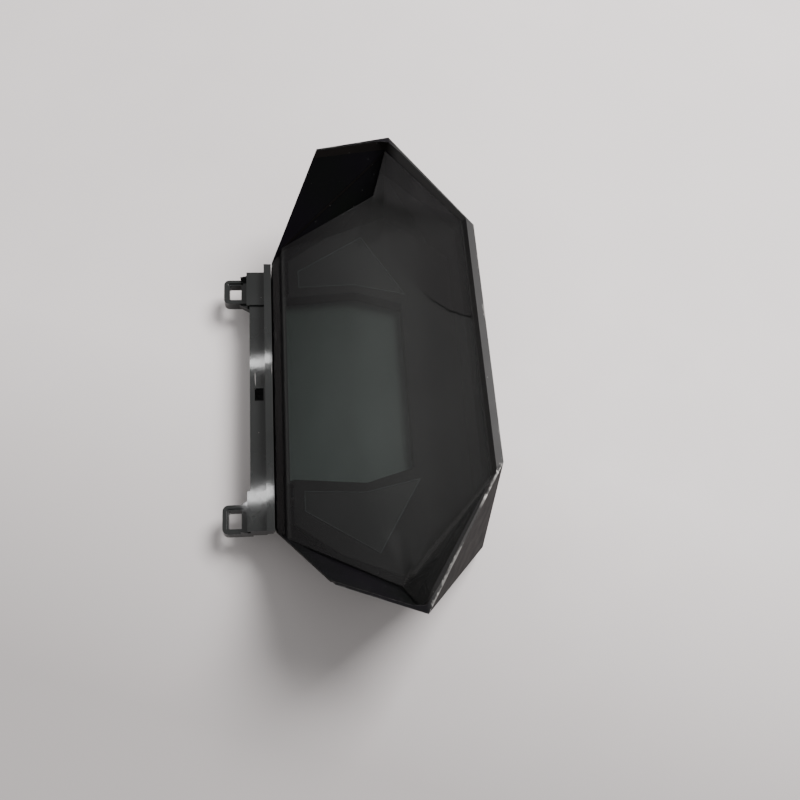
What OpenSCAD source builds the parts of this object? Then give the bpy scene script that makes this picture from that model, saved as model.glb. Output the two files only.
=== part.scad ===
// Digital motorcycle instrument cluster, lying on its back.
// Frame: +Z out of the display, +Y towards the latch rail, +X along the long side.
// Origin: middle of the rear resting plane, on the plane of symmetry X = 0.

/* [Outline] */
// Full width over the two outer corners
full_w = 200; // [170:1:230]
// Height of the latch-side lens edge above the resting plane
edge_z = 24; // [20:0.5:30]
// Depth of the case from the lens edge to the far rim
case_d = 80.5; // [70:0.5:95]
// Rise of the far rim above the lens edge
rim_rise = 44; // [36:0.5:52]
// Height of the split line between the front case and the rear housing
split_z = 10; // [8:0.5:12]

/* [Lens] */
// Smoked lens thickness
lens_t = 2; // [1.5:0.1:3]
// Side cheek thickness
cheek_t = 2.4; // [1.6:0.1:3]

/* [Dial] */
// Top of the black dial mask
mask_z = 27.4; // [26:0.1:28]
// Mask sheet thickness
mask_t = 1.5; // [1:0.1:2]
// Top of the display stack
lcd_z = 20; // [19:0.1:21]
// Display glass width
glass_w = 91; // [88:0.5:91]
// Display glass depth
glass_d = 55; // [52:0.5:56]

/* [Circuit board] */
// Underside of the board
pcb_z = 10.5; // [9:0.1:11]
// Board thickness
pcb_t = 1.6; // [1:0.1:2]

/* [Rear housing] */
// Outer face of the rear floor
floor_z = 4; // [3:0.5:5]
// Floor and wall thickness
wall = 2.4; // [2:0.1:3]
// Threaded bore of the mounting inserts
insert_bore = 5; // [4:0.1:6]
// Mounting post diameter
post_d = 14; // [12:0.5:16]
// Connector shroud inner width
conn_w = 30; // [24:0.5:36]
// Connector shroud inner depth
conn_d = 13; // [10:0.5:16]

/* [Latch rail] */
// Rail length
rail_l = 116.6; // [100:0.2:118]
// Top of the rail band
rail_z = 18; // [16:0.5:20]
// Latch loop centre, distance from the middle
loop_x = 51.8; // [46:0.1:54]
// Top of the latch loops
loop_z = 13.3; // [11:0.1:14]
// Corner radius of the latch loops
loop_r = 2.4; // [1:0.1:3]
// Latch loop hole width
hole_w = 7.4; // [4:0.1:8]
// Latch loop hole depth
hole_d = 5; // [4:0.1:6]

/* [Hidden] */
$fn = 40;
eps = 0.01;
half = full_w / 2;
edge_y = 40;
far_y = edge_y - case_d;
far_z = edge_z + rim_rise;

// Rim corners on the +X side, latch side to far side
H = [0.6 * half, edge_y, edge_z];
A = [0.895 * half, edge_y - 19.5, edge_z + 40];
B = [half, edge_y - 50.5, edge_z + 35.5];
C = [0.5 * half, far_y, far_z];
// Fold points of the lens on the +X side, exactly in the plane of the cheek
cheek_n = cross(A - H, B - H);
function on_cheek(x, y) =
    [x, y, H[2] - (cheek_n[0] * (x - H[0]) + cheek_n[1] * (y - H[1])) / cheek_n[2]];
K0 = on_cheek(0.645 * half, edge_y - 4.5);
K = on_cheek(0.86 * half, edge_y - 45);
// Corners of the split line
base_pts = [[0.544 * half, 41], [0.766 * half, 18], [0.83 * half, -12], [0.665 * half, -43]];

function mir(p) = [-p[0], p[1], p[2]];
function both(l) = concat(l, [for (p = l) mir(p)]);
function mix(a, b, t) = a + t * (b - a);
function down(l, d) = concat(l, [for (p = l) p - [0, 0, d]]);
function ring(l, dx = 0, dy = 0) = concat(
    [for (p = l) [p[0] - dx, p[1] - dy * sign(p[1])]],
    [for (i = [len(l) - 1:-1:0]) [-(l[i][0] - dx), l[i][1] - dy * sign(l[i][1])]]);
function at(l, z) = [for (p = l) [p[0], p[1], z]];

Ai = mix(A, H, 0.075);
Bi = mix(B, K, 0.2);
Ci = mix(C, K, 0.107);
Bl = mix(B, K, 0.225);
Cl = mix(C, K, 0.115);
boss_pts = [[53.1, 33.1], [73.4, 4], [60.4, -36.4]];
pcb_screw_pts = [[66.5, -12], [24, -33]];
mount_pts = [[58, 17], [58, -17]];
insert_l = 8;
mask_post_pts = [[61, 24], [62.5, -27]];
glass_y = 7.5;
lcd_win = [[40.5, 34.3], [43, 4.5], [37.2, -15.1]];
tell_win = [[45.4, 29], [53.6, 29], [71.3, 0.7], [41.7, -17.3], [46.6, 5]];
tell_box = [[48.4, 28.2], [53.4, 28.2], [69.2, 1.4], [52, -9.4], [48.4, 5]];

module both_sides() {
    children();
    mirror([1, 0, 0]) children();
}
module each_side(pts) {
    for (p = pts, s = [-1, 1]) translate([s * p[0], p[1], 0]) children();
}
module solid_of(pts) {
    hull() polyhedron(points = pts, faces = [[for (i = [0:len(pts) - 1]) i]]);
}
module slab(pts, z0, z1) {
    translate([0, 0, z0]) linear_extrude(z1 - z0) polygon(pts);
}
module rod(d, z0, z1) {
    translate([0, 0, z0]) cylinder(d = d, h = z1 - z0);
}
module block(x0, x1, y0, y1, z0, z1) {
    translate([x0, y0, z0]) cube([x1 - x0, y1 - y0, z1 - z0]);
}
// Flat ring between an outline and the same outline scaled inwards
module band(outer, inner, z0, z1) {
    difference() {
        slab(outer, z0, z1);
        slab(inner, z0 - 1, z1 + 1);
    }
}

// ---------------------------------------------------------------- front case
in_low = [[52.9, 38.5], [73.7, 16.8], [80, -11.4], [64.2, -40.3]];
in_top = [[57, 36.5, 20], [81, 16.5, 54], [92, -9, 46], [50, -37.2, 61]];
high = [[62, 48, 96], [95, 25, 96], [96, -14, 96], [52, -47, 96]];
bowl = both([H, K0, K, Ai, Bi, Ci]);

module front_case() {
    color([0.04, 0.04, 0.045]) {
        difference() {
            union() {
                difference() {
                    solid_of(both(concat([H, A, B, C], at(base_pts, split_z))));
                    solid_of(both(concat(in_top, at(in_low, split_z - 1))));
                }
                both_sides() solid_of(down([H, Ai, Bi, K, K0], cheek_t));
            }
            solid_of(concat(bowl, both(high)));
            solid_of(down(both([H, K0, K, Bl, Cl]), lens_t));
        }
        each_side(boss_pts) difference() {
            rod(8.4, split_z, 19);
            rod(2.6, split_z - 1, 17);
        }
        // snap hook that reaches into the rail window
        block(-2, 2, 40.6, 41.1, 13, 16);
    }
}

module lens() {
    color([0.1, 0.1, 0.11, 0.6]) {
        solid_of(down(both([H, K0]), lens_t));
        solid_of(down(both([K0, K]), lens_t));
        solid_of(down(both([K, Cl]), lens_t));
        both_sides() solid_of(down([K, Bl, Cl], lens_t));
    }
}

// ---------------------------------------------------------------------- dial
mask_pts = [[58.5, 33], [70.8, 16], [81.5, -10], [61, -37.6]];
well_t = 1.2;
function grow(l, d) = [for (p = l) [p[0] + d, p[1] + d * sign(p[1] - 5)]];

module dial_mask() {
    color([0.09, 0.09, 0.095]) {
        difference() {
            slab(ring(mask_pts), mask_z - mask_t, mask_z);
            slab(ring(lcd_win), mask_z - 5, mask_z + 1);
            both_sides() slab(tell_win, mask_z - 5, mask_z + 1);
        }
        band(ring(grow(lcd_win, well_t)), ring(lcd_win), lcd_z + 0.4, mask_z - mask_t);
        each_side(mask_post_pts) rod(5, pcb_z + pcb_t, mask_z - mask_t);
    }
}
function shrink(l, c, k) = [for (p = l) [c[0] + (p[0] - c[0]) * k, c[1] + (p[1] - c[1]) * k]];
module telltale_window() {
    slab(shrink(tell_win, [51, 8], 0.995), mask_z - 1.1, mask_z - 0.1);
}
module telltale_window_a() {
    color([0.2, 0.2, 0.21]) telltale_window();
}
module telltale_window_b() {
    color([0.2, 0.2, 0.21]) mirror([1, 0, 0]) telltale_window();
}
module light_box() {
    band(tell_box, shrink(tell_box, [56, 8], 0.9), pcb_z + pcb_t, mask_z - mask_t);
}
module light_box_a() {
    color([0.9, 0.9, 0.88]) light_box();
}
module light_box_b() {
    color([0.9, 0.9, 0.88]) mirror([1, 0, 0]) light_box();
}

// ------------------------------------------------------------- display stack
module sheet(w, d, z0, z1) {
    block(-w / 2, w / 2, glass_y - d / 2 + 1.5, glass_y + d / 2 + 1.5, z0, z1);
}
module front_polarizer() {
    color([0.25, 0.28, 0.26]) sheet(glass_w - 2, glass_d - 2, lcd_z - 0.2, lcd_z);
}
module front_glass() {
    color([0.55, 0.62, 0.58]) sheet(glass_w, glass_d - 0.4, lcd_z - 1.3, lcd_z - 0.2);
}
module rear_glass() {
    color([0.5, 0.58, 0.55]) sheet(glass_w, glass_d, lcd_z - 2.4, lcd_z - 1.3);
}
module rear_polarizer() {
    color([0.3, 0.33, 0.3]) sheet(glass_w - 2, glass_d - 2, lcd_z - 2.6, lcd_z - 2.4);
}
module diffuser_sheet() {
    color([0.95, 0.95, 0.93]) sheet(glass_w - 2, glass_d - 2, lcd_z - 2.9, lcd_z - 2.6);
}
module light_guide() {
    color([0.85, 0.9, 0.92]) sheet(glass_w - 6, glass_d - 4, lcd_z - 6, lcd_z - 2.9);
}
module reflector_sheet() {
    color([0.92, 0.92, 0.92]) sheet(glass_w - 6, glass_d - 4, lcd_z - 6.2, lcd_z - 6);
}
module lcd_frame() {
    cx0 = glass_w / 2;
    y0 = glass_y + 1.5 - glass_d / 2;
    y1 = glass_y + 1.5 + glass_d / 2;
    color([0.88, 0.88, 0.86]) difference() {
        block(-cx0 - 1.6, cx0 + 1.6, y0 - 1.6, y1 + 1.2, pcb_z + pcb_t, lcd_z);
        block(-cx0 - 0.1, cx0 + 0.1, y0 - 0.1, y1 + 0.1, lcd_z - 2.5, lcd_z + 1);
        block(-cx0 + 0.9, cx0 - 0.9, y0 + 0.9, y1 - 0.9, lcd_z - 3, lcd_z + 1);
        block(-cx0 + 2.9, cx0 - 2.9, y0 + 1.9, y1 - 1.9, pcb_z, lcd_z + 1);
    }
}
module lcd_pins() {
    color([0.8, 0.8, 0.78]) for (i = [-14:14]) {
        block(i * 2.54 - 0.25, i * 2.54 + 0.25, -23.4, -22.9, pcb_z - 0.8, lcd_z - 1.2);
    }
}
module backlight_leds() {
    color([0.95, 0.95, 0.8]) for (i = [-2:2], y = [-4, 22]) {
        block(i * 16 - 1.75, i * 16 + 1.75, y - 1.4, y + 1.4, pcb_z + pcb_t, pcb_z + pcb_t + 1.4);
    }
}
module telltale_leds() {
    color([0.95, 0.95, 0.8]) for (s = [-1, 1], i = [0:3]) {
        translate([s * (51.4 + i * 2.8), 20 - i * 6.4, 0])
            block(-1.5, 1.5, -1.2, 1.2, pcb_z + pcb_t, pcb_z + pcb_t + 1.2);
    }
}

// -------------------------------------------------------------- main board
pcb_pts = [[53, 36.5], [71, 14], [77, -10], [60, -38]];
module main_board() {
    color([0.05, 0.28, 0.14]) difference() {
        slab(ring(pcb_pts), pcb_z, pcb_z + pcb_t);
        each_side(boss_pts) rod(8.8, pcb_z - 1, pcb_z + pcb_t + 1);
        each_side(pcb_screw_pts) rod(3.4, pcb_z - 1, pcb_z + pcb_t + 1);
        for (i = [-14:14]) {
            block(i * 2.54 - 0.35, i * 2.54 + 0.35, -23.5, -22.8, pcb_z - 1, pcb_z + pcb_t + 1);
        }
    }
}
module pcb_screws() {
    color([0.75, 0.76, 0.78]) each_side(pcb_screw_pts) {
        rod(2.5, 7, pcb_z + pcb_t);
        difference() {
            rod(5.4, pcb_z + pcb_t, pcb_z + pcb_t + 1.8);
            slab([for (a = [0:60:300]) 1.3 * [cos(a), sin(a)]], pcb_z + pcb_t + 0.8, pcb_z + pcb_t + 2);
        }
    }
}
module chip(x, y, w, d, h) {
    block(x - w / 2, x + w / 2, y - d / 2, y + d / 2, pcb_z - h, pcb_z);
}
module microcontroller() {
    color([0.07, 0.07, 0.07]) chip(-22, 20, 14, 14, 1.5);
    color([0.8, 0.8, 0.8]) for (i = [-6:6], s = [-1, 1]) {
        chip(-22 + i, 20 + s * 7.6, 0.4, 1.2, 0.6);
        chip(-22 + s * 7.6, 20 + i, 1.2, 0.4, 0.6);
    }
}
module display_driver() {
    color([0.07, 0.07, 0.07]) chip(-18, -14, 10, 10, 1.4);
    color([0.8, 0.8, 0.8]) for (i = [-4:4], s = [-1, 1]) {
        chip(-18 + i, -14 + s * 5.5, 0.4, 1, 0.6);
    }
}
module bus_transceiver() {
    color([0.07, 0.07, 0.07]) chip(24, 22, 4, 5, 1.5);
    color([0.8, 0.8, 0.8]) for (i = [-1.5:1:1.5], s = [-1, 1]) {
        chip(24 + s * 2.5, 22 + i * 1.27, 1, 0.4, 0.6);
    }
}
module voltage_regulator() {
    color([0.07, 0.07, 0.07]) chip(38, 22, 6.5, 6.2, 2.3);
    color([0.8, 0.8, 0.8]) chip(38, 26.2, 5.2, 2.2, 0.8);
}
module power_inductor() {
    color([0.18, 0.18, 0.19]) chip(52, 4, 7, 7, 3.4);
}
module crystal_can() {
    color([0.8, 0.8, 0.82]) chip(-36, 24, 5, 3.2, 1.2);
}
module filter_capacitors() {
    color([0.75, 0.76, 0.78]) for (p = [[40, 8], [-50, -6], [44, -12]]) {
        translate([p[0], p[1], 0]) rod(6.3, pcb_z - 3.8, pcb_z);
    }
}
module chip_resistors() {
    color([0.1, 0.1, 0.1]) for (i = [0:9], j = [0, 1]) {
        chip(-46 + i * 3.4, 4 - j * 4, 2, 1.25, 0.5);
    }
    color([0.1, 0.1, 0.1]) for (i = [0:5]) chip(20 + i * 4, -22, 1.6, 0.8, 0.5);
}

// ----------------------------------------------------------------- connector
conn_x = 0;
conn_y = 2;
module connector_socket() {
    color([0.12, 0.12, 0.13]) translate([conn_x, conn_y, 0]) {
        difference() {
            block(-conn_w / 2 + 0.6, conn_w / 2 - 0.6, -conn_d / 2 + 0.6, conn_d / 2 - 0.6, 0.8, pcb_z);
            block(-conn_w / 2 + 2, conn_w / 2 - 2, -conn_d / 2 + 2, conn_d / 2 - 2, -1, pcb_z - 2.4);
            for (i = [-4.5:4.5], s = [-1, 1]) {
                block(i * 2.2 - 0.32, i * 2.2 + 0.32, s * 1.6 - 0.32, s * 1.6 + 0.32, 0, pcb_z + 1);
            }
        }
    }
}
module connector_pins() {
    color([0.85, 0.72, 0.4]) translate([conn_x, conn_y, 0]) for (i = [-4.5:4.5], s = [-1, 1]) {
        block(i * 2.2 - 0.3, i * 2.2 + 0.3, s * 1.6 - 0.3, s * 1.6 + 0.3, 5, pcb_z);
    }
}

// -------------------------------------------------------------- rear housing
in_wall = [[53, 38.4], [73.9, 16.9], [80.3, -11.4], [64.4, -40.3]];
tongue_in = [[52.2, 36.6], [72, 16], [78, -10.8], [62.6, -38.4]];
module rib_x(y, x1) {
    block(-x1, x1, y - 0.8, y + 0.8, 1.8, floor_z);
}
module rib_y(x, y0, y1) {
    block(x - 0.8, x + 0.8, y0, y1, 1.8, floor_z);
}
// Outline of a loop: square towards the rail, rounded at its free corners
module loop_plate(w, d, r, z0, z1) {
    translate([loop_x, 56.2, z0]) linear_extrude(z1 - z0) {
        translate([-w / 2, -d / 2]) square([w, d - r]);
        translate([-w / 2 + r, -d / 2]) square([w - 2 * r, d]);
        for (i = [-1, 1]) translate([i * (w / 2 - r), d / 2 - r]) circle(r = r);
    }
}
module latch_loop() {
    difference() {
        loop_plate(11.8, 10, loop_r, loop_z - 5, loop_z);
        loop_plate(hole_w, hole_d, 0.6, loop_z - 6, loop_z + 1);
        loop_plate(hole_w + 1.6, hole_d + 1.6, 1, loop_z - 0.7, loop_z + 1);
    }
    block(loop_x - 5.9, loop_x - 2.4, 49.2, 51.2, loop_z - 5, 16);
    block(loop_x + 1.2, loop_x + 5.9, 49.2, 51.2, loop_z - 5, 16);
    slab([[loop_x - 8.6, 50], [loop_x - 5.9, 50], [loop_x - 5.9, 54.5]], loop_z - 4, loop_z - 1);
    slab([[loop_x + 5.9, 54], [loop_x + 5.9, 49.2], [rail_l / 2, 49.2], [rail_l / 2, 51.4]],
        loop_z - 1.4, 16);
}
module rear_housing() {
    color([0.05, 0.05, 0.055]) {
        difference() {
            union() {
                slab(ring(base_pts), floor_z, floor_z + wall);
                band(ring(base_pts), ring(in_wall), floor_z + wall, split_z);
                // shroud round the connector
                block(-conn_w / 2 - 2, conn_w / 2 + 2, conn_y - conn_d / 2 - 2, conn_y + conn_d / 2 + 2,
                    0, floor_z);
                each_side(mount_pts) {
                    rod(post_d, 0, floor_z);
                    rod(11, floor_z, insert_l + 1.4);
                }
                each_side(boss_pts) rod(9, 1.8, floor_z);
                for (y = [24, -18]) rib_x(y, 52);
                rib_x(-34, 40);
                both_sides() {
                    rib_y(30, -34, 36);
                    rib_y(48, -18, 30);
                }
                rib_y(0, 12, 36);
                rib_y(0, -34, -8);
            }
            block(-conn_w / 2, conn_w / 2, conn_y - conn_d / 2, conn_y + conn_d / 2, -1, 9);
            each_side(mount_pts) rod(7, -1, insert_l);
            each_side(boss_pts) {
                rod(3.4, 0, 9);
                rod(6.4, 0, 3.4);
            }
            translate([-39, 6, 0]) rod(3, 0, 9);
        }
        each_side(pcb_screw_pts) difference() {
            rod(6, floor_z + wall, pcb_z);
            rod(2.6, 6.9, pcb_z + 1);
        }
        // board rests near the rail
        both_sides() block(36, 38, 30, 33, floor_z + wall, pcb_z);
        // wall, band and end blocks of the latch rail
        difference() {
            union() {
                translate([0, 43.6, 0]) rotate([90, 0, 0]) linear_extrude(2.5)
                    polygon(ring([[rail_l / 2 + 1.4, edge_z - 0.4], [rail_l / 2 + 1.4, edge_z - 5],
                        [53.4, floor_z]]));
                block(-rail_l / 2 - 1.4, rail_l / 2 + 1.4, 40.5, 41.1, edge_z - 3, edge_z - 0.4);
                block(-5, 5, 43.6, 49.4, 9.4, rail_z - 2.2);
                block(-rail_l / 2, rail_l / 2, 43.6, 50, rail_z - 2.2, rail_z);
            }
            block(-2.8, 2.8, 44.4, 48, 11, 20);
            block(-2.8, 2.8, 40, 42.4, 12, 17);
        }
        block(-53.4, 53.4, 40.9, 41.1, floor_z, split_z);
        both_sides() {
            block(42, rail_l / 2, 43.6, 49.2, 12.4, rail_z - 2.2);
            block(42, rail_l / 2, 43.6, 51.2, rail_z, rail_z + 1);
            block(46, 57.6, 50, 51.2, 16, rail_z);
            latch_loop();
            for (x = [8, 20, 32]) slab_rib(x);
        }
    }
}
module slab_rib(x) {
    translate([x - 0.7, 0, 0]) rotate([90, 0, 90])
        linear_extrude(1.4) polygon([[43.6, 9], [43.6, rail_z - 2.2], [49.4, rail_z - 2.2]]);
}
module housing_gasket() {
    color([0.16, 0.16, 0.17])
        band(ring([[52.8, 38.2], [73.4, 16.6], [79.8, -11.3], [64, -40]]), ring(tongue_in),
            floor_z + wall, split_z - 0.2);
}
module housing_screws() {
    color([0.7, 0.71, 0.73]) each_side(boss_pts) {
        difference() {
            rod(5.8, 1.6, 3.4);
            slab([for (a = [0:60:300]) 1.4 * [cos(a), sin(a)]], 1, 2.6);
        }
        rod(2.5, 3.4, 16);
    }
}
module mount_inserts() {
    color([0.78, 0.62, 0.3]) each_side(mount_pts) difference() {
        rod(6.9, 0, insert_l);
        rod(insert_bore, -1, insert_l + 1);
    }
}
module vent_cap() {
    color([0.2, 0.2, 0.21]) translate([-39, 6, 0]) {
        rotate_extrude() polygon([[1.7, 2], [5, 2], [6, 2.8], [6, floor_z], [1.7, floor_z]]);
    }
}
module vent_membrane() {
    color([0.93, 0.93, 0.9]) translate([-39, 6, 0]) rod(6.4, floor_z + wall, floor_z + wall + 0.4);
}

front_case();
lens();
dial_mask();
telltale_window_a();
telltale_window_b();
light_box_a();
light_box_b();
front_polarizer();
front_glass();
rear_glass();
rear_polarizer();
diffuser_sheet();
light_guide();
reflector_sheet();
lcd_frame();
lcd_pins();
backlight_leds();
telltale_leds();
main_board();
pcb_screws();
microcontroller();
display_driver();
bus_transceiver();
voltage_regulator();
power_inductor();
crystal_can();
filter_capacitors();
chip_resistors();
connector_socket();
connector_pins();
rear_housing();
housing_gasket();
housing_screws();
mount_inserts();
vent_cap();
vent_membrane();
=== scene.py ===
import math

import bmesh
import bpy
from mathutils import Vector, Matrix


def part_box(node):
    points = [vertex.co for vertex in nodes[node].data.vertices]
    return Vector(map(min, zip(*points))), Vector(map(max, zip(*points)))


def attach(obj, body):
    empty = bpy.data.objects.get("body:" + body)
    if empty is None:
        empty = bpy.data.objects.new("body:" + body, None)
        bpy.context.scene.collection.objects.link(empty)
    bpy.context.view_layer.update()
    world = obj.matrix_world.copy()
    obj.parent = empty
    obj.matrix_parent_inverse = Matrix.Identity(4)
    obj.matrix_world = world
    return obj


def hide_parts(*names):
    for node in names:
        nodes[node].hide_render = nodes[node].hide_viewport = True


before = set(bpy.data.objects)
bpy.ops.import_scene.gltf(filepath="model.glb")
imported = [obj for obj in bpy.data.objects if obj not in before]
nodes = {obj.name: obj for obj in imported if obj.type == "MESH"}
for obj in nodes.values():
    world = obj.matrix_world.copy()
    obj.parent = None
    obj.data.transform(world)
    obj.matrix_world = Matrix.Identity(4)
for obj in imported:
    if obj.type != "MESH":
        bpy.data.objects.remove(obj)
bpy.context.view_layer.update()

MM = 0.001
DOME_LEVEL = 0.72
KEY_WATTS = 22.0
BACKDROP = (0.62, 0.60, 0.595)
SKY_STOPS = ((0.0, 0.10), (0.11, 0.30), (0.30, 0.88), (1.0, 1.0))
FOCAL_MM = 38.83
CAMERA_TURN = -4.2
LENS_WALL = 2 * MM
# linear colours of the hazy tone on the lens, partly real and partly a painted reflection of the bright
# dome, from its front edge to its steep far part
LENS_HAZE_SHEEN_FRONT = (0.008, 0.0075, 0.008)
LENS_HAZE_SHEEN_FLOOR = (0.025, 0.025, 0.025)
LENS_HAZE_SHEEN_FAR_A = (0.038, 0.038, 0.038)
LENS_HAZE_SHEEN_FAR_B = (0.046, 0.047, 0.046)
LENS_HAZE_SHEEN_FLARE = (0.105, 0.103, 0.105)
LENS_CLEAR_BLACK = (0.004, 0.0035, 0.004)


# ------------------------------------------------------------------ materials
class Net:
    """A small helper that builds one node material."""

    def __init__(self, name):
        self.mat = bpy.data.materials.new(name)
        self.mat.use_nodes = True
        self.nt = self.mat.node_tree
        self.nt.nodes.clear()
        self.out = self.add("ShaderNodeOutputMaterial")
        self.bsdf = self.add("ShaderNodeBsdfPrincipled")
        self.nt.links.new(self.bsdf.outputs[0], self.out.inputs[0])
        tex = self.add("ShaderNodeTexCoord")
        self.coord = tex.outputs["Object"]
        self.normal = tex.outputs["Normal"]

    def add(self, kind, **props):
        n = self.nt.nodes.new(kind)
        for k, v in props.items():
            setattr(n, k, v)
        return n

    def put(self, socket, value):
        if isinstance(value, bpy.types.NodeSocket):
            self.nt.links.new(value, socket)
        elif isinstance(value, (tuple, list)) and len(value) == 3 and socket.type == "RGBA":
            socket.default_value = (*value, 1.0)
        else:
            socket.default_value = value

    def noise(self, scale, detail=3.0, rough=0.55, stretch=None):
        """Noise in object space; stretch holds three scales and, if wanted, three angles."""
        vec = self.coord
        if stretch:
            m = self.add("ShaderNodeMapping")
            self.put(m.inputs["Vector"], vec)
            m.inputs["Scale"].default_value = stretch[:3]
            if len(stretch) > 3:
                m.inputs["Rotation"].default_value = stretch[3:6]
            vec = m.outputs[0]
        n = self.add("ShaderNodeTexNoise")
        self.put(n.inputs["Vector"], vec)
        n.inputs["Scale"].default_value = scale
        n.inputs["Detail"].default_value = detail
        n.inputs["Roughness"].default_value = rough
        return n.outputs["Fac"]

    def voronoi(self, scale):
        n = self.add("ShaderNodeTexVoronoi", feature="F1")
        self.put(n.inputs["Vector"], self.coord)
        n.inputs["Scale"].default_value = scale
        return n.outputs["Distance"]

    def ramp(self, fac, lo, hi, a=0.0, b=1.0):
        n = self.add("ShaderNodeMapRange")
        self.put(n.inputs["Value"], fac)
        for k, v in (("From Min", lo), ("From Max", hi), ("To Min", a), ("To Max", b)):
            self.put(n.inputs[k], v)
        return n.outputs[0]

    def math(self, op, a, b=0.0, clamp=False):
        n = self.add("ShaderNodeMath", operation=op)
        n.use_clamp = clamp
        self.put(n.inputs[0], a)
        self.put(n.inputs[1], b)
        return n.outputs[0]

    def mix(self, fac, a, b):
        n = self.add("ShaderNodeMix", data_type="RGBA")
        self.put(n.inputs[0], fac)
        self.put(n.inputs[6], a)
        self.put(n.inputs[7], b)
        return n.outputs[2]

    def xyz_of(self, vector):
        n = self.add("ShaderNodeSeparateXYZ")
        self.put(n.inputs[0], vector)
        return n.outputs

    def xyz(self):
        return self.xyz_of(self.coord)

    def vec(self, op, a, b=None):
        n = self.add("ShaderNodeVectorMath", operation=op)
        for i, v in enumerate((a, b)):
            if isinstance(v, bpy.types.NodeSocket):
                self.nt.links.new(v, n.inputs[i])
            elif v is not None:
                n.inputs[i].default_value = v
        return n.outputs["Value" if op in ("LENGTH", "DOT_PRODUCT") else "Vector"]

    def line_gap(self, p, q):
        """Distance of the surface from the straight line through p and q."""
        axis = (Vector(q) - Vector(p)).normalized()
        reach = self.vec("SUBTRACT", self.coord, tuple(p))
        return self.vec("LENGTH", self.vec("CROSS_PRODUCT", reach, tuple(axis)))

    def along(self, p, q):
        """0 at p and 1 at q, measured along the line between them."""
        d = Vector(q) - Vector(p)
        reach = self.vec("SUBTRACT", self.coord, tuple(p))
        return self.math("DIVIDE", self.vec("DOT_PRODUCT", reach, tuple(d)), d.length_squared)

    def bump(self, height, strength, distance, chain=None):
        n = self.add("ShaderNodeBump")
        n.inputs["Strength"].default_value = strength
        n.inputs["Distance"].default_value = distance
        self.put(n.inputs["Height"], height)
        if chain is not None:
            self.put(n.inputs["Normal"], chain)
        return n.outputs[0]

    def specks(self, amount):
        """Scattered dust specks, 0 to amount."""
        speck = self.ramp(self.voronoi(520.0), 0.05, 0.09, 1.0, 0.0)
        where = self.ramp(self.noise(240.0, 1.0), 0.62, 0.66)
        return self.math("MULTIPLY", self.math("MULTIPLY", speck, where), amount)

    def scratches(self, amount):
        """A few hairline scratches, 0 to amount."""
        hair = self.noise(42.0, 2.0, 0.5, (1.0, 26.0, 9.0, 0.3, 0.2, 0.7))
        hair = self.ramp(hair, 0.715, 0.74)
        few = self.ramp(self.noise(17.0, 2.0), 0.52, 0.6)
        return self.math("MULTIPLY", self.math("MULTIPLY", hair, few), amount)

    def set(self, **values):
        for k, v in values.items():
            self.put(self.bsdf.inputs[k.replace("_", " ")], v)
        return self.mat


def plastic(name, base, lift, rough, spread, grain=0.0, grain_scale=2500.0, dust=0.0, spec=0.5,
            scratch=0.0, wave=0.0):
    """Moulded plastic: slow colour drift, fine grain, dust specks and hairline scratches."""
    n = Net(name)
    drift = n.ramp(n.noise(28.0, 4.0), 0.35, 0.7)
    col = n.mix(drift, base, lift)
    rgh = n.ramp(n.noise(60.0, 5.0, 0.6), 0.3, 0.7, rough - spread, rough + spread)
    normal = None
    if grain:
        normal = n.bump(n.noise(grain_scale, 2.0), grain, 0.00006)
    if wave:
        normal = n.bump(n.noise(95.0, 3.0), wave, 0.0004)
    if scratch:
        mark = n.scratches(scratch)
        col = n.mix(mark, col, (0.32, 0.31, 0.3))
        rgh = n.math("ADD", rgh, n.math("MULTIPLY", mark, 0.3), True)
    if dust:
        col = n.mix(n.specks(dust), col, (0.4, 0.38, 0.36))
    vals = dict(Base_Color=col, Roughness=rgh, Specular_IOR_Level=spec)
    if normal is not None:
        vals["Normal"] = normal
    return n.set(**vals)


def metal(name, base, tint, rough, spread, lines=None):
    """Metal with slow tint drift and either fine grain or drawn lines."""
    n = Net(name)
    col = n.mix(n.ramp(n.noise(300.0, 4.0), 0.35, 0.65), base, tint)
    rgh = n.ramp(n.noise(700.0, 3.0), 0.3, 0.7, rough - spread, rough + spread)
    height = n.noise(1600.0, 2.0, 0.5, lines) if lines else n.noise(2200.0, 2.0)
    return n.set(Base_Color=col, Roughness=rgh, Metallic=1.0, Normal=n.bump(height, 0.25, 0.00003))


def see_through(n, share, tint):
    """Lets a share of the light straight through the surface, tinted."""
    clear = n.add("ShaderNodeBsdfTransparent")
    n.put(clear.inputs[0], tint)
    both = n.add("ShaderNodeMixShader")
    both.inputs[0].default_value = share
    n.nt.links.new(n.bsdf.outputs[0], both.inputs[1])
    n.nt.links.new(clear.outputs[0], both.inputs[2])
    n.nt.links.new(both.outputs[0], n.out.inputs[0])
    return n.mat


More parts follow.
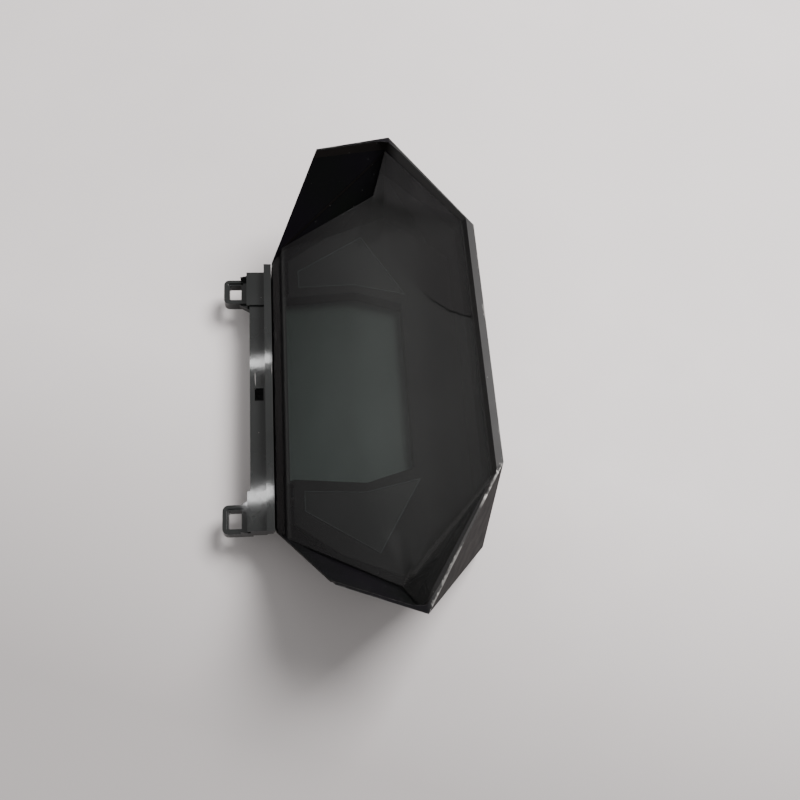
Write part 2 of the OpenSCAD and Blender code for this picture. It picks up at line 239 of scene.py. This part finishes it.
def lens_material():
    """Smoked acrylic, faintly hazy: part of it lets the dial show through, the rest is a dull gloss. Its
    hazy tone is partly real and partly a painted reflection of the bright dome: lighter on the steep far
    part and the flared sides, darker near the front edge and towards -X.
    Both faces of the lens carry it, so what lies below is dimmed twice."""
    n = Net("smoked_lens")
    cloud = n.ramp(n.noise(17.0, 4.0, 0.55), 0.3, 0.7)
    x, y = n.xyz()[:2]
    nx, ny, nz = n.xyz_of(n.normal)[:3]
    flat = n.mix(n.ramp(y, 0.034, -0.004), LENS_HAZE_SHEEN_FRONT, LENS_HAZE_SHEEN_FLOOR)
    flat = n.mix(n.math("MULTIPLY", n.ramp(x, -0.02, -0.06), 0.5), flat, LENS_HAZE_SHEEN_FRONT)
    steep = n.mix(cloud, LENS_HAZE_SHEEN_FAR_A, LENS_HAZE_SHEEN_FAR_B)
    steep = n.mix(n.ramp(x, -0.03, -0.085, 0.0, 0.45), steep, LENS_HAZE_SHEEN_FRONT)
    # painted light: the hazy tone is lighter on the steep far part and lighter still on the flared sides, a
    # painted reflection of the dome
    haze_and_sheen = n.mix(n.ramp(nz, 0.972, 0.78), flat, steep)
    haze_and_sheen = n.mix(n.ramp(nx, -0.08, -0.35), haze_and_sheen, LENS_HAZE_SHEEN_FLARE)
    # a curved stress line, and the slightly duller field beyond it; u and g are in millimetres
    u = n.math("ADD", n.math("MULTIPLY", y, 1000.0), 40.1)
    bend = n.math("MULTIPLY", n.math("MULTIPLY", u, u), 0.0344)
    curve = n.math("ADD", bend, n.math("MULTIPLY", u, 0.375))
    g = n.math("SUBTRACT", n.math("MULTIPLY", x, 1000.0), n.math("ADD", curve, 8.4))
    g = n.math("ADD", g, n.ramp(n.noise(260.0, 3.0, 0.6), 0.3, 0.7, -0.5, 0.5))
    field = n.math("MULTIPLY", n.ramp(g, 0.0, 0.8), n.ramp(u, 14.0, 34.0, 0.30, 0.0))
    haze_and_sheen = n.mix(field, haze_and_sheen, (0.012, 0.008, 0.010))
    off_line = n.math("MAXIMUM", n.ramp(n.math("ABSOLUTE", g), 0.22, 0.55), n.ramp(u, 15.0, 21.0))
    haze_and_sheen = n.mix(n.math("SUBTRACT", 1.0, off_line), haze_and_sheen, (0.002, 0.002, 0.002))
    # the front bevel carries neither the hazy tone nor its painted reflection
    haze_and_sheen = n.mix(n.ramp(y, 0.0352, 0.0360), haze_and_sheen, LENS_CLEAR_BLACK)
    rgh = n.ramp(n.noise(34.0, 4.0, 0.6), 0.35, 0.7, 0.12, 0.19)
    hair = n.ramp(n.noise(30.0, 2.0, 0.5, (1.0, 22.0, 7.0, 0.2, 0.1, 0.9)), 0.73, 0.75)
    few = n.ramp(n.noise(13.0, 2.0), 0.55, 0.62)
    mark = n.math("MULTIPLY", n.math("MULTIPLY", hair, few), 0.2)
    n.set(Base_Color=n.mix(mark, haze_and_sheen, (0.16, 0.16, 0.16)), Roughness=rgh, IOR=1.49,
          Specular_IOR_Level=0.2)
    return see_through(n, 0.5, n.mix(cloud, (0.82, 0.84, 0.83), (0.88, 0.90, 0.89)))


def display_material():
    """The grey-green face of an unlit display, with soft uneven bands across it."""
    n = Net("display_face")
    x, y = n.xyz()[:2]
    cloud = n.ramp(n.noise(26.0, 3.0, 0.5, (0.5, 1.6, 1.0)), 0.3, 0.7)
    dim = n.mix(cloud, (0.150, 0.196, 0.172), (0.200, 0.256, 0.230))
    light = n.mix(cloud, (0.330, 0.410, 0.385), (0.430, 0.520, 0.495))
    across = n.math("SUBTRACT", n.math("MULTIPLY", x, -0.8), y)
    col = n.mix(n.ramp(across, -0.060, 0.018), dim, light)
    grid = n.ramp(n.noise(4200.0, 1.0), 0.4, 0.6)
    col = n.mix(n.math("MULTIPLY", grid, 0.08), col, (0.07, 0.085, 0.08))
    rgh = n.ramp(n.noise(900.0, 2.0), 0.3, 0.7, 0.3, 0.42)
    return n.set(Base_Color=col, Roughness=rgh, Normal=n.bump(n.noise(5200.0, 1.0), 0.08, 0.00002))


def case_material():
    """Black case: mirror gloss on the upward faces, satin side walls, a far rim and lip painted grey as
    sheen and lifted shade, and rim edges painted pale, partly wear and partly painted highlight.
    """
    n = Net("case_gloss")
    lo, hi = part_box("front_case")
    tint = n.ramp(n.noise(21.0, 3.0), 0.35, 0.65)
    col = n.mix(tint, (0.0052, 0.0042, 0.0062), (0.0042, 0.0050, 0.0044))
    nx, ny, nz = n.xyz_of(n.normal)[:3]
    side = n.ramp(nz, 0.24, 0.34, 1.0, 0.0)
    # the rim and its inner lip, on the far side of the cheeks; the rim's top is painted mid grey as a
    # painted dull sheen
    beyond = n.ramp(n.xyz()[1], -0.0100, -0.0140)
    rim = n.math("MULTIPLY", beyond, n.math("SUBTRACT", 1.0, side))
    col = n.mix(rim, col, (0.030, 0.030, 0.030))
    dusk = n.ramp(n.noise(55.0, 4.0, 0.6), 0.35, 0.65)
    col = n.mix(side, col, n.mix(dusk, (0.0065, 0.0055, 0.0055), (0.0105, 0.0085, 0.0078)))
    # painted light: the inner lip, a wall that lies in shade, is painted a lighter grey
    lip = n.math("MULTIPLY", n.math("MULTIPLY", beyond, side), n.ramp(ny, 0.3, 0.6))
    col = n.mix(lip, col, (0.055, 0.054, 0.054))
    gloss = n.ramp(n.noise(60.0, 5.0, 0.6), 0.3, 0.7, 0.05, 0.10)
    satin = n.ramp(n.noise(160.0, 4.0), 0.3, 0.7, 0.66, 0.78)
    dull = n.math("MAXIMUM", side, n.math("MULTIPLY", rim, 0.55))
    rgh = n.math("ADD", n.math("MULTIPLY", gloss, n.math("SUBTRACT", 1.0, dull)),
                 n.math("MULTIPLY", satin, dull))

    # worn and glinting edges, painted pale as partly wear and partly painted highlight: two ends, width in
    # mm, where the pale band starts and stops along the edge, and how strong
    far = (50 * MM, lo.y + 2.5 * MM, hi.z)
    corner = (hi.x, -10.5 * MM, hi.z - 8.5 * MM)
    front = (hi.x * 0.895, 20.5 * MM, hi.z - 4 * MM)

    def flip(point):
        return (-point[0], point[1], point[2])

    edges = ((flip(far), flip(corner), 1.9, 0.02, 0.30, 0.85),
             (flip(far), flip(corner), 1.8, 0.56, 0.98, 0.85),
             (far, flip(far), 1.0, 0.36, 0.46, 0.9),
             (far, flip(far), 0.7, 0.0, 1.0, 0.12),
             (far, corner, 0.6, 0.0, 1.0, 0.15),
             (corner, front, 0.7, 0.0, 1.0, 0.15),
             (flip(corner), flip(front), 0.5, 0.0, 1.0, 0.05))
    wear_and_glint = 0.0
    for p, q, width, start, stop, amount in edges:
        fray = n.ramp(n.noise(210.0, 4.0, 0.7), 0.3, 0.7, 0.0, 1.3 * width * MM)
        ragged = n.math("ADD", n.line_gap(p, q), fray)
        near = n.ramp(ragged, 0.7 * width * MM, width * MM, amount, 0.0)
        t = n.along(p, q)
        inside = n.math("MULTIPLY", n.ramp(t, start - 0.02, start + 0.02),
                        n.ramp(t, stop - 0.02, stop + 0.02, 1.0, 0.0))
        wear_and_glint = n.math("MAXIMUM", wear_and_glint, n.math("MULTIPLY", near, inside))
    grit = n.math("MULTIPLY", n.ramp(n.noise(430.0, 5.0, 0.75), 0.40, 0.60),
                  n.ramp(n.noise(46.0, 2.0), 0.46, 0.54))
    wear_and_glint = n.math("MULTIPLY", wear_and_glint, n.ramp(grit, 0.0, 0.5, 0.22, 1.0))
    fleck = n.math("MAXIMUM", n.specks(0.5), n.scratches(0.7))
    col = n.mix(fleck, col, (0.36, 0.37, 0.36))
    # painted highlight: the pale edge bands stand partly for real wear and partly for glints of light on
    # these edges
    col = n.mix(wear_and_glint, col, (0.60, 0.59, 0.57))
    rgh = n.math("ADD", rgh, n.math("MULTIPLY", n.math("MAXIMUM", wear_and_glint, fleck), 0.35), True)
    normal = n.bump(n.math("MULTIPLY", n.noise(2600.0, 2.0), side), 0.06, 0.00003)
    return n.set(Base_Color=col, Roughness=rgh, Specular_IOR_Level=0.12, Normal=normal)


MATS = {
    "case": case_material(),
    "mask": plastic("mask_black", (0.020, 0.019, 0.020), (0.028, 0.027, 0.028), 0.55, 0.08, grain=0.12),
    "tell": plastic("telltale_smoke", (0.060, 0.066, 0.067), (0.074, 0.080, 0.080), 0.35, 0.08, grain=0.1),
    "white": plastic("white_plastic", (0.78, 0.78, 0.76), (0.84, 0.84, 0.82), 0.5, 0.08, grain=0.3),
    "film": plastic("white_film", (0.8, 0.8, 0.79), (0.88, 0.88, 0.87), 0.6, 0.05, grain=0.2),
    "clear": plastic("light_guide_clear", (0.70, 0.76, 0.78), (0.78, 0.82, 0.84), 0.12, 0.05),
    "glass": plastic("lcd_glass", (0.36, 0.42, 0.40), (0.42, 0.48, 0.46), 0.08, 0.03),
    "pcb": plastic("board_green", (0.012, 0.10, 0.04), (0.02, 0.14, 0.06), 0.3, 0.06, grain=0.6,
                   grain_scale=900.0),
    "chip": plastic("chip_black", (0.018, 0.018, 0.018), (0.03, 0.03, 0.03), 0.5, 0.1, grain=0.5),
    "ferrite": plastic("ferrite", (0.05, 0.05, 0.052), (0.08, 0.08, 0.08), 0.6, 0.1, grain=0.8),
    "socket": plastic("connector_black", (0.022, 0.022, 0.024), (0.035, 0.035, 0.037), 0.42, 0.1, grain=0.4),
    "housing": plastic("housing_black", (0.008, 0.009, 0.0088), (0.014, 0.015, 0.0148), 0.055, 0.015,
                       wave=0.03, dust=0.4, scratch=0.7, spec=0.42),
    "rubber": plastic("seal_rubber", (0.02, 0.02, 0.021), (0.03, 0.03, 0.031), 0.75, 0.1, grain=0.6),
    "porous": plastic("membrane", (0.75, 0.75, 0.73), (0.85, 0.85, 0.83), 0.85, 0.08, grain=0.9,
                      grain_scale=6000.0),
    "led": plastic("led_package", (0.80, 0.72, 0.30), (0.88, 0.82, 0.5), 0.25, 0.06),
    "zinc": metal("zinc_steel", (0.52, 0.53, 0.55), (0.62, 0.62, 0.60), 0.3, 0.08),
    "tin": metal("tin_metal", (0.6, 0.6, 0.6), (0.7, 0.7, 0.69), 0.3, 0.08),
    "gold": metal("gold_metal", (0.75, 0.56, 0.22), (0.85, 0.68, 0.34), 0.22, 0.06),
    "brass": metal("insert_brass", (0.62, 0.46, 0.18), (0.72, 0.56, 0.26), 0.28, 0.08, (1.0, 1.0, 8.0)),
    "can": metal("can_aluminium", (0.68, 0.69, 0.71), (0.76, 0.77, 0.78), 0.25, 0.06),
    # pale: a painted highlight for the steps round the telltale windows
    "edge": plastic("telltale_edge", (0.20, 0.23, 0.23), (0.30, 0.33, 0.33), 0.35, 0.08, grain=0.1),
    "lens": lens_material(),
    "display": display_material(),
}

LOOK = {
    "front_case": "case", "lens": "lens", "dial_mask": "mask",
    "telltale_window_a": "tell", "telltale_window_b": "tell",
    "light_box_a": "white", "light_box_b": "white", "lcd_frame": "white",
    "front_polarizer": "display", "rear_polarizer": "display",
    "front_glass": "glass", "rear_glass": "glass",
    "diffuser_sheet": "film", "reflector_sheet": "film", "light_guide": "clear",
    "lcd_pins": "tin", "crystal_can": "tin", "backlight_leds": "led", "telltale_leds": "led",
    "main_board": "pcb", "pcb_screws": "zinc", "housing_screws": "zinc",
    "microcontroller": "chip", "display_driver": "chip", "bus_transceiver": "chip",
    "voltage_regulator": "chip", "chip_resistors": "chip", "power_inductor": "ferrite",
    "filter_capacitors": "can", "connector_socket": "socket", "connector_pins": "gold",
    "rear_housing": "housing", "vent_cap": "socket", "housing_gasket": "rubber",
    "mount_inserts": "brass", "vent_membrane": "porous",
}


def paint(obj, mat):
    obj.data.materials.clear()
    obj.data.materials.append(mat)


def soften(obj, width):
    """Joins the split corners of a CAD mesh, rounds its edges a little and keeps its flats flat."""
    weld = obj.modifiers.new("join", "WELD")
    weld.merge_threshold = 0.01 * MM
    bevel = obj.modifiers.new("round", "BEVEL")
    bevel.width = width
    bevel.segments = 2
    bevel.limit_method = "ANGLE"
    bevel.angle_limit = math.radians(28.0)
    bevel.harden_normals = False
    bevel.use_clamp_overlap = True
    even = obj.modifiers.new("even", "WEIGHTED_NORMAL")
    even.mode = "FACE_AREA"
    even.weight = 50
    even.keep_sharp = True


for name, look in LOOK.items():
    paint(nodes[name], MATS[look])

soften(nodes["front_case"], 0.35 * MM)
soften(nodes["rear_housing"], 0.3 * MM)
for name in ("dial_mask", "connector_socket", "vent_cap", "housing_screws", "mount_inserts"):
    soften(nodes[name], 0.15 * MM)


# ----------------------------------------------------------------------- lens
def quilt(bm, rows):
    """Rows of vertices with equal counts become a sheet of quads; returns its faces."""
    faces = []
    for upper, lower in zip(rows[:-1], rows[1:]):
        for j in range(len(upper) - 1):
            faces.append(bm.faces.new((upper[j], lower[j], lower[j + 1], upper[j + 1])))
    return faces


def rim_of(rows):
    """The outer loop of vertices of such a sheet."""
    right = [row[-1] for row in rows[1:]]
    left = [row[0] for row in rows[-2:0:-1]]
    return list(rows[0]) + right + list(rows[-1][-2::-1]) + left


def link_mesh(name, bm, mat):
    """Turns a bmesh into an object of the scene."""
    me = bpy.data.meshes.new(name)
    bm.to_mesh(me)
    bm.free()
    ob = bpy.data.objects.new(name, me)
    bpy.context.scene.collection.objects.link(ob)
    me.materials.append(mat)
    return ob


def smooth_max(a, b, k):
    """The larger of a and b, with a soft fold k wide where they meet."""
    h = max(k - abs(a - b), 0.0) / k
    return max(a, b) + h * h * k * 0.25


def lens_piece():
    """The smoked lens as one smooth moulding: front fold, floor, steep far part and flared sides."""
    lo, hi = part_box("lens")
    y0 = hi.y
    edge_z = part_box("rear_housing")[1].z + 0.4 * MM
    # the lens ends on the sloping plane of the case's cheeks, through these three corners
    H = Vector((0.06, y0, edge_z))
    cheek_front = Vector((0.0895, y0 - 19.5 * MM, edge_z + 40 * MM))
    cheek_side = Vector((0.1, y0 - 50.5 * MM, edge_z + 35.5 * MM))
    cheek = (cheek_front - H).cross(cheek_side - H)

    def on_cheek(x, y):
        return Vector((x, y, H.z - (cheek.x * (x - H.x) + cheek.y * (y - H.y)) / cheek.z))

    # corners of the moulding on one side, from its front edge to its far edge
    K0 = on_cheek(0.0645, y0 - 4.5 * MM)
    K = on_cheek(0.086, y0 - 45 * MM)
    B = Vector((hi.x, y0 - 49.25 * MM, 0))
    C = Vector((0.05414, lo.y, hi.z))
    front_slope = (K0.z - H.z) / (H.y - K0.y)
    floor_slope = (K.z - K0.z) / (K0.y - K.y)
    steep_slope = (C.z - K.z) / (K.y - C.y)
    flare = (cheek_side - K).cross(C - K)
    outline = [(p.x, p.y) for p in (H, K0, K, B, C)]

    def edge_x(y):
        for (xa, ya), (xb, yb) in zip(outline[:-1], outline[1:]):
            if yb <= y <= ya:
                return xa + (xb - xa) * (ya - y) / (ya - yb)
        return outline[-1][0]

    def height(x, y):
        inset = max(0.0, min(1.0, (edge_x(y) - abs(x)) / (28 * MM)))
        ease = inset * inset * (3 - 2 * inset)
        front = H.z + (H.y - y) * front_slope
        floor = K0.z + (K0.y - y) * floor_slope
        z = -smooth_max(-front, -floor, 1.2 * MM)
        z = smooth_max(z, K.z + (K.y - y) * steep_slope, (0.4 + 10 * ease) * MM)
        side = K.z - (flare.x * (abs(x) - K.x) + flare.y * (y - K.y)) / flare.z
        return smooth_max(z, side, (2.0 + 5 * ease) * MM)

    stations = []
    for (xa, ya), (xb, yb) in zip(outline[:-1], outline[1:]):
        steps = max(2, int(round((ya - yb) / (0.8 * MM))))
        for i in range(steps):
            t = i / steps
            stations.append((xa + (xb - xa) * t, ya + (yb - ya) * t))
    stations.append(outline[-1])
    cols = 144
    bm = bmesh.new()
    top, under = [], []
    for w, y in stations:
        line = [(-w + 2 * w * j / cols, y) for j in range(cols + 1)]
        heights = [height(x, y) for x, y in line]
        top.append([bm.verts.new((x, y, z)) for (x, y), z in zip(line, heights)])
        under.append([bm.verts.new((x, y, z - LENS_WALL)) for (x, y), z in zip(line, heights)])
    quilt(bm, top)
    for face in quilt(bm, under):
        face.normal_flip()
    ring_top, ring_under = rim_of(top), rim_of(under)
    for i in range(len(ring_top)):
        k = (i + 1) % len(ring_top)
        bm.faces.new((ring_top[i], ring_top[k], ring_under[k], ring_under[i]))
    bmesh.ops.recalc_face_normals(bm, faces=bm.faces)
    ob = link_mesh("lens_smooth", bm, MATS["lens"])
    ob.data.set_sharp_from_angle(angle=math.radians(35))
    for p in ob.data.polygons:
        p.use_smooth = True
    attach(ob, "root")
    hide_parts("lens")


lens_piece()


def window_edge(name, side):
    """The fine step moulded round a telltale window, painted pale as a highlight of the light its edge
    catches; side is 1 for +X and -1 for -X.
    """
    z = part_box("dial_mask")[1].z
    corners = [(45.4, 29.0), (53.6, 29.0), (71.3, 0.7), (41.7, -17.3), (46.6, 5.0)]
    corners = [Vector((side * x * MM, y * MM)) for x, y in corners]
    count = len(corners)

    def offset(d):
        """The corners moved so that every edge lies d further in."""
        out = []
        for i in range(count):
            a, b, c = corners[i - 1], corners[i], corners[(i + 1) % count]
            n1 = Vector(((b - a).y, -(b - a).x)).normalized() * -side
            n2 = Vector(((c - b).y, -(c - b).x)).normalized() * -side
            m = (n1 + n2).normalized()
            out.append(b + m * (d / max(0.35, m.dot(n1))))
        return out

    bm = bmesh.new()
    rings = []
    for d, h in ((0.02, 0.0), (0.08, 0.14), (0.34, 0.16), (0.44, 0.0)):
        rings.append([bm.verts.new((p.x, p.y, z + h * MM)) for p in offset(-d * MM)])
    for r1, r2 in zip(rings, rings[1:] + rings[:1]):
        for i in range(count):
            k = (i + 1) % count
            bm.faces.new((r1[i], r1[k], r2[k], r2[i]))
    bmesh.ops.recalc_face_normals(bm, faces=bm.faces)
    ob = link_mesh(name, bm, MATS["edge"])
    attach(ob, "root")


window_edge("telltale_edge_a", 1)
window_edge("telltale_edge_b", -1)


# ---------------------------------------------------------------- floor, light
def floor_piece():
    """A plain pale floor, a little darker away from the key light."""
    bm = bmesh.new()
    bmesh.ops.create_grid(bm, x_segments=2, y_segments=2, size=3.0)
    n = Net("floor_pale")
    col = n.mix(n.ramp(n.noise(5.0, 5.0), 0.3, 0.7), (0.60, 0.575, 0.57), (0.66, 0.63, 0.625))
    x, y = n.xyz()[:2]
    away = n.math("SUBTRACT", n.math("MULTIPLY", x, -1.0), n.math("MULTIPLY", y, -0.35))
    col = n.mix(n.ramp(away, 0.0, 0.15), col, (0.36, 0.343, 0.340))
    rgh = n.ramp(n.noise(40.0, 3.0), 0.3, 0.7, 0.5, 0.65)
    ob = link_mesh("floor", bm, n.set(Base_Color=col, Roughness=rgh, Specular_IOR_Level=0.25))


floor_piece()


def area(name, loc, aim, size, power, color=(1, 1, 1)):
    """A soft rectangular light that the camera doesn't see."""
    data = bpy.data.lights.new(name, "AREA")
    data.shape = "RECTANGLE"
    data.size, data.size_y = size
    data.energy = power
    data.color = color
    ob = bpy.data.objects.new(name, data)
    ob.location = loc
    ob.rotation_mode = "QUATERNION"
    ob.rotation_quaternion = (Vector(aim) - Vector(loc)).to_track_quat("-Z", "Y")
    ob.visible_camera = False
    bpy.context.scene.collection.objects.link(ob)


def studio_world():
    """A plain pale backdrop for the camera; the light comes from a dome that is brighter overhead."""
    world = bpy.data.worlds.new("studio")
    bpy.context.scene.world = world
    world.use_nodes = True
    nodes_of, link = world.node_tree.nodes, world.node_tree.links.new
    nodes_of.clear()
    out = nodes_of.new("ShaderNodeOutputWorld")
    plain = nodes_of.new("ShaderNodeBackground")
    plain.inputs[0].default_value = (*BACKDROP, 1)
    plain.inputs[1].default_value = 1.0
    dome = nodes_of.new("ShaderNodeBackground")
    dome.inputs[1].default_value = DOME_LEVEL
    direction = nodes_of.new("ShaderNodeTexCoord")
    split = nodes_of.new("ShaderNodeSeparateXYZ")
    link(direction.outputs["Generated"], split.inputs[0])
    sky = nodes_of.new("ShaderNodeValToRGB")
    link(split.outputs[2], sky.inputs[0])
    elements = sky.color_ramp.elements
    elements[0].position, elements[1].position = SKY_STOPS[0][0], SKY_STOPS[-1][0]
    for pos, level in SKY_STOPS[1:-1]:
        elements.new(pos)
    for el, (pos, level) in zip(elements, SKY_STOPS):
        el.color = (level, level * 0.985, level * 0.98, 1)
    link(sky.outputs[0], dome.inputs[0])
    path = nodes_of.new("ShaderNodeLightPath")
    pick = nodes_of.new("ShaderNodeMixShader")
    link(path.outputs["Is Camera Ray"], pick.inputs[0])
    link(dome.outputs[0], pick.inputs[1])
    link(plain.outputs[0], pick.inputs[2])
    link(pick.outputs[0], out.inputs[0])


studio_world()
area("key", (0.33, -0.44, 0.90), (0, 0, 0.03), (0.50, 0.50), KEY_WATTS, (1.0, 0.97, 0.965))
# two short strips that make the bright spots on the latch rail
area("strip_near", (0.250, 0.079, 0.973), (-0.0436, 0.047, 0.018), (0.045, 0.018), 0.075)
area("strip_far", (0.447, 0.077, 0.912), (0.0150, 0.047, 0.018), (0.045, 0.013), 0.052)

# --------------------------------------------------------------------- camera
cam_data = bpy.data.cameras.new("camera")
cam = bpy.data.objects.new("camera", cam_data)
bpy.context.scene.collection.objects.link(cam)
bpy.context.scene.camera = cam
cam_data.sensor_width = 36.0
cam_data.lens = FOCAL_MM
cam_data.clip_start = 0.01
cam_data.clip_end = 20
eye = Vector((-0.14608, 0.03592, 0.35061))
aim = Vector((-0.00906, -0.01084, 0.03))
back = (eye - aim).normalized()
turn = math.radians(CAMERA_TURN)
hint = Vector((math.cos(turn), math.sin(turn), 0))
up = (hint - back * hint.dot(back)).normalized()
right = up.cross(back)
cam.matrix_world = Matrix((
    (right.x, up.x, back.x, eye.x),
    (right.y, up.y, back.y, eye.y),
    (right.z, up.z, back.z, eye.z),
    (0, 0, 0, 1),
))
